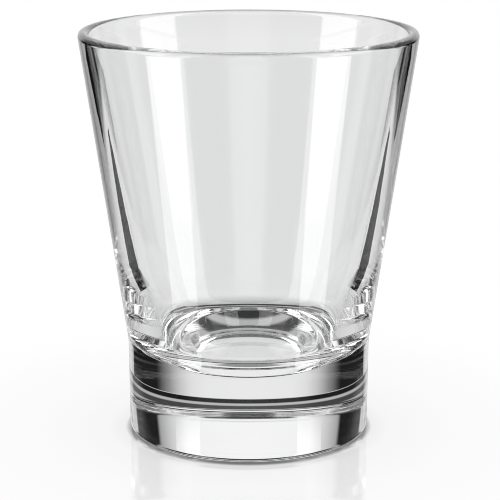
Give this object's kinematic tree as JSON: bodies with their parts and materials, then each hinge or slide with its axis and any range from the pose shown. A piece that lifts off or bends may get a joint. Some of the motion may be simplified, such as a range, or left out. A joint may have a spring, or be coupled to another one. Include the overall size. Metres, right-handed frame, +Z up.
{
  "type": "rocks glass",
  "caption": "Clear glass tumbler with a flared bowl, rounded lip and heavy solid round base, for serving short drinks.",
  "frame": {"origin": "centre of the underside, on the surface that the glass stands on", "axes": "+Z up along the axis of the glass, from the base to the rim"},
  "size_m": [0.089, 0.089, 0.1083],
  "materials": {
    "clear_glass": "polished"
  },
  "bodies": {
    "root": {"glass_body": "clear_glass"}
  },
  "joints": []
}
